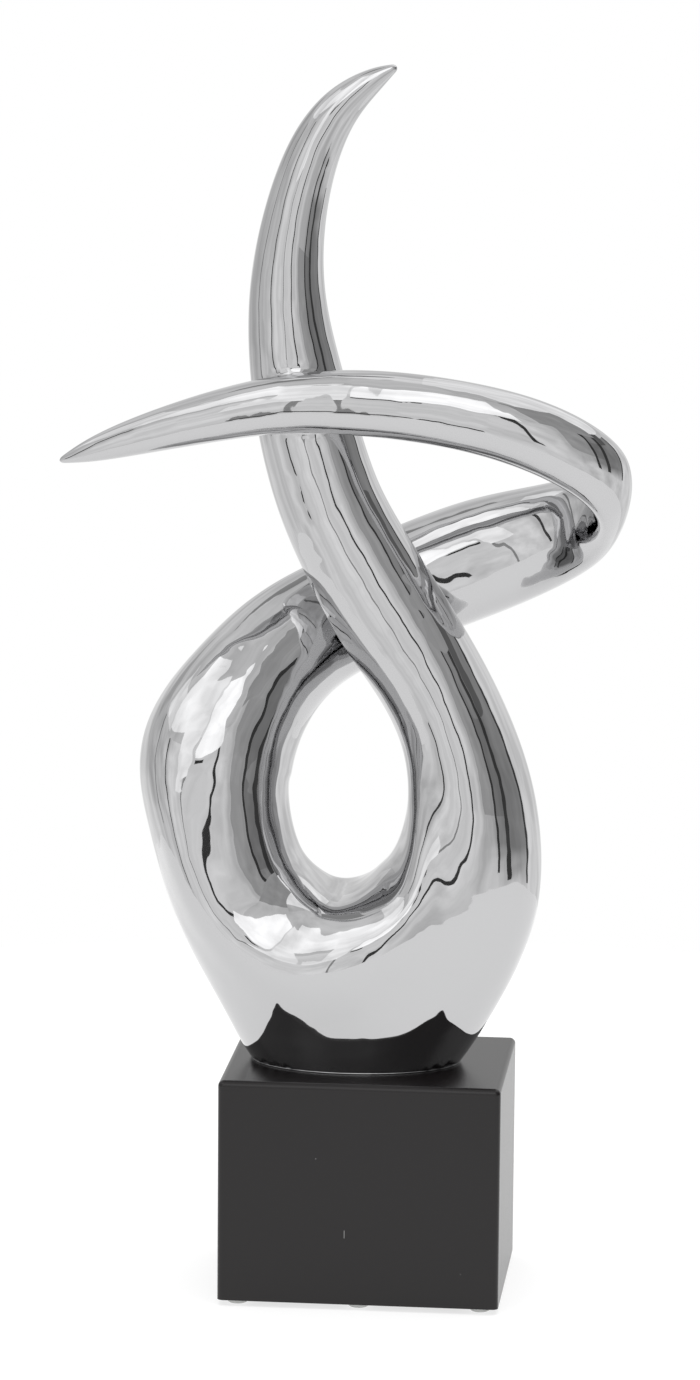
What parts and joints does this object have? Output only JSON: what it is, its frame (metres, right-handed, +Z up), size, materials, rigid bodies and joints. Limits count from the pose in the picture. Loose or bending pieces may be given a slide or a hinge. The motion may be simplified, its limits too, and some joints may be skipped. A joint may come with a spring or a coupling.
{
  "type": "abstract metal sculpture",
  "caption": "Mirror-plated abstract figure of one looping, tapering limb that crosses itself, standing on a satin black block with clear bumper feet.",
  "frame": {"origin": "on the floor, under the middle of the whole object's bounding box", "axes": "+Z up, -Y towards the viewer who sees the loop's hole, +X to that viewer's right"},
  "size_m": [0.2804, 0.1344, 0.612],
  "materials": {
    "figure": "mirror plated, hand polished",
    "plinth": "satin black lacquer",
    "bumper": "clear moulded polyurethane"
  },
  "bodies": {
    "root": {"figure": "figure", "plinth": "plinth", "bumper_front_1": "bumper", "bumper_front_2": "bumper", "bumper_front_3": "bumper", "bumper_back_1": "bumper", "bumper_back_2": "bumper", "bumper_back_3": "bumper"}
  },
  "joints": []
}
